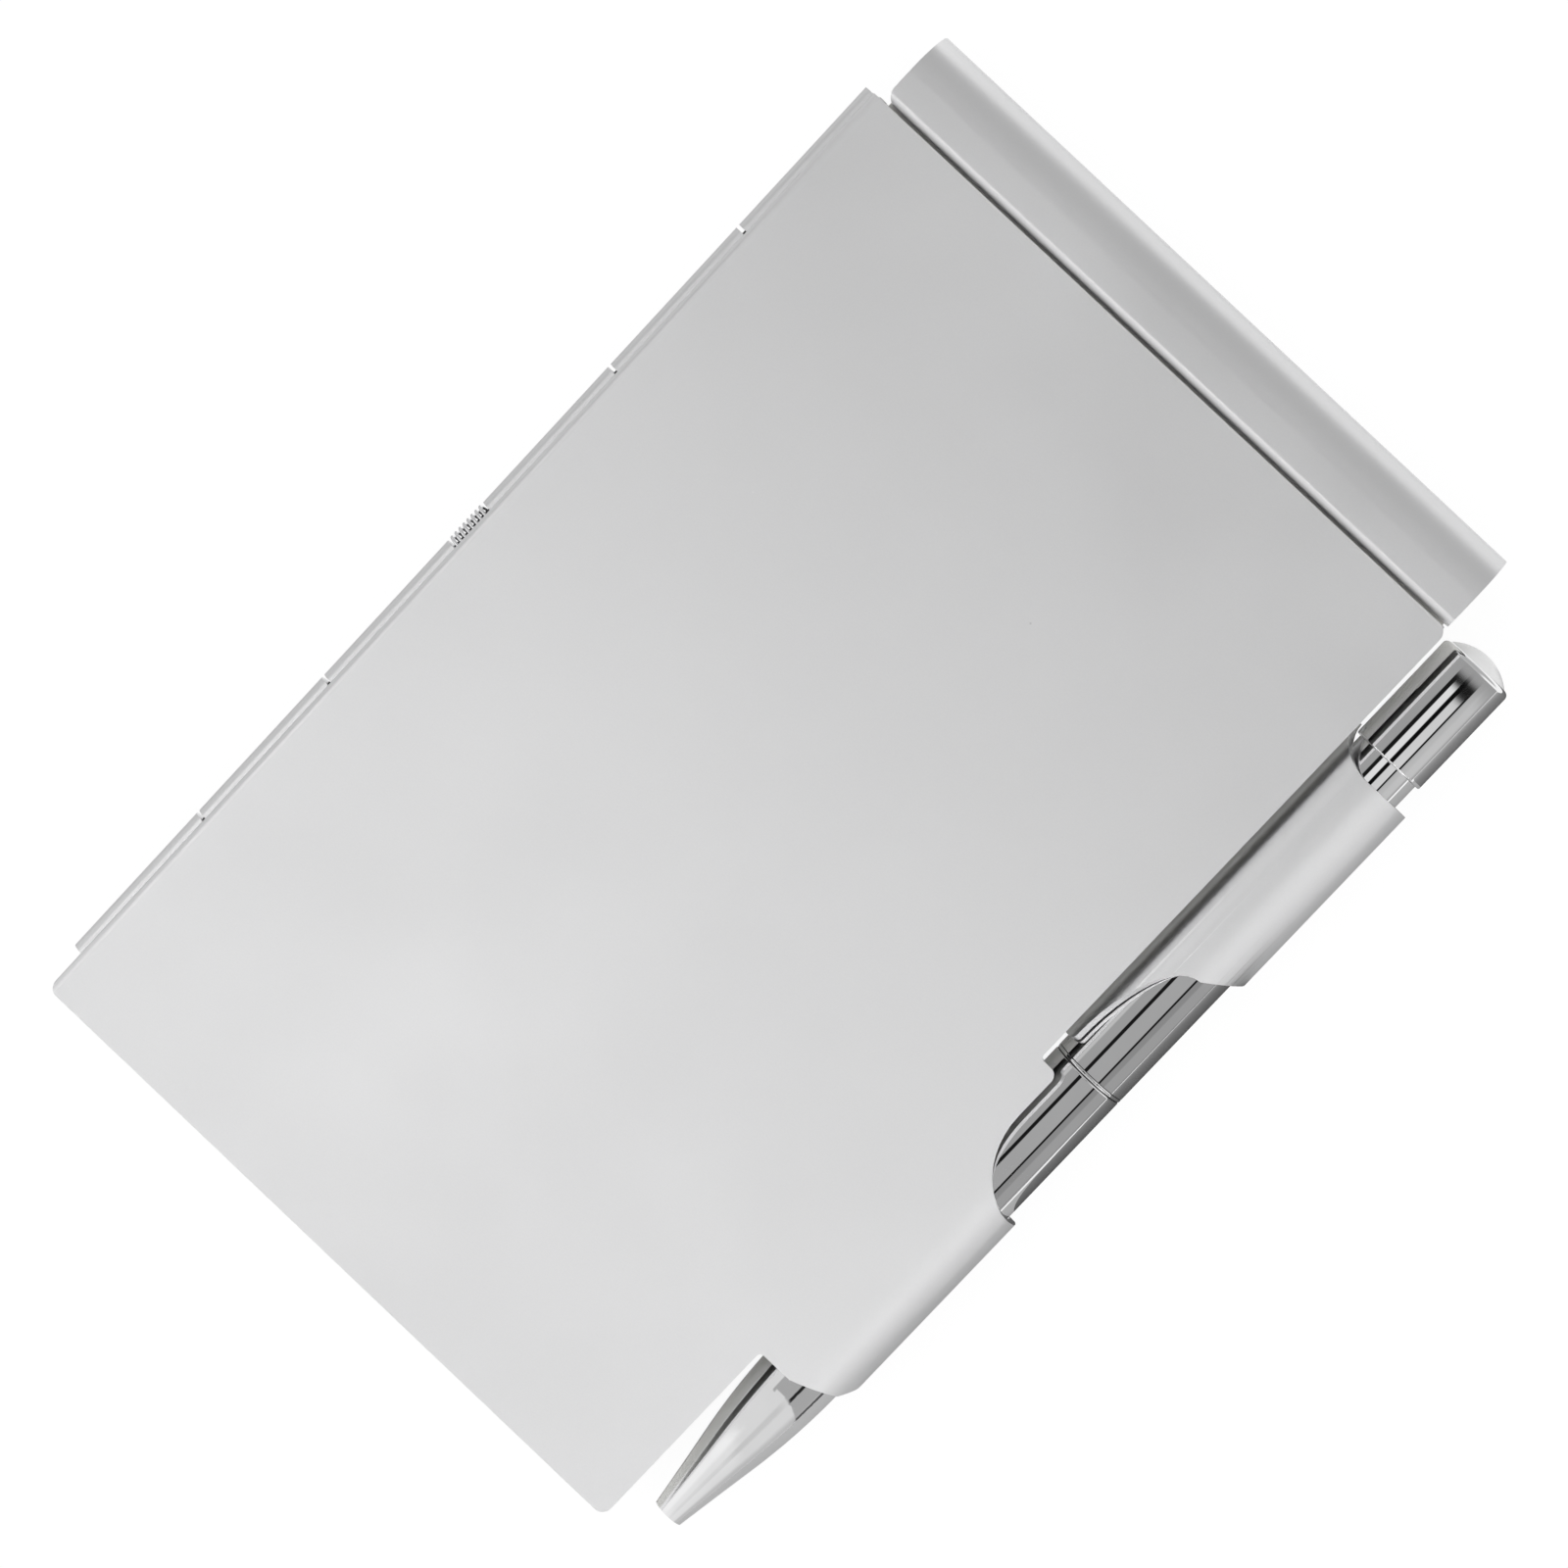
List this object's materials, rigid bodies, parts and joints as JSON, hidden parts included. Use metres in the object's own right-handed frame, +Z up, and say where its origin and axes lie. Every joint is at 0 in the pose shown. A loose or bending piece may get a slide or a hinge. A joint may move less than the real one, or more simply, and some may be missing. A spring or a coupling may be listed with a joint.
{
  "type": "notepad holder",
  "caption": "Slim sheet metal memo pad case with a hinged cover, a rolled bar that holds the pad and a push-cap pen through two tubes on its long side.",
  "frame": {"origin": "under the middle of the closed holder, on the surface it lies on", "axes": "+X from the hinge to the pen, +Y along the pen towards the bar, +Z up out of the back cover"},
  "size_m": [0.0896, 0.1323, 0.0104],
  "materials": {
    "satin_cover": "satin silver",
    "pin_steel": "drawn wire",
    "spring_steel": "bright wire",
    "grey_board": "uncoated",
    "pad_paper": "uncoated white",
    "binding_tape": "gummed tape",
    "pen_chrome": "polished",
    "crown_plastic": "pale, smooth",
    "pen_brass": "turned",
    "click_plastic": "moulded",
    "refill_plastic": "smooth"
  },
  "bodies": {
    "back_case": {"back_cover": "satin_cover", "hinge_pin": "pin_steel", "hinge_spring": "spring_steel"},
    "front_case": {"front_cover": "satin_cover"},
    "pad": {"pad_backing": "grey_board", "pad_sheets": "pad_paper", "pad_binding": "binding_tape"},
    "pen": {"pen_neck": "pen_chrome", "pen_upper_barrel": "pen_chrome", "pen_joint_ring": "pen_chrome", "pen_thread_insert": "pen_brass", "pen_lower_barrel": "pen_chrome", "click_sleeve": "click_plastic", "return_spring": "spring_steel"},
    "pen_button": {"pen_cap": "pen_chrome", "pen_crown": "crown_plastic", "click_plunger": "click_plastic", "click_cam": "click_plastic", "refill_tube": "refill_plastic", "refill_tip": "pen_brass", "refill_ball": "spring_steel"}
  },
  "joints": [
    {"name": "cover_hinge", "type": "hinge", "parent": "back_case", "child": "front_case", "pos_m": [-0.04331, 0, 0.0052], "axis": [0, -1, 0], "range_deg": [0, 180], "deforming": ["hinge_spring"]},
    {"name": "pen_slide", "type": "slide", "parent": "back_case", "child": "pen", "axis": [0, 1, 0], "range_m": [0, 0.115]},
    {"name": "pen_press", "type": "slide", "parent": "pen", "child": "pen_button", "axis": [0, -1, 0], "range_m": [0, 0.003], "stiffness_N_per_m": 300, "springref_m": -0.004, "deforming": ["return_spring"]},
    {"name": "pad_slide", "type": "slide", "parent": "back_case", "child": "pad", "axis": [0, -1, 0], "range_m": [0, 0.13]}
  ]
}
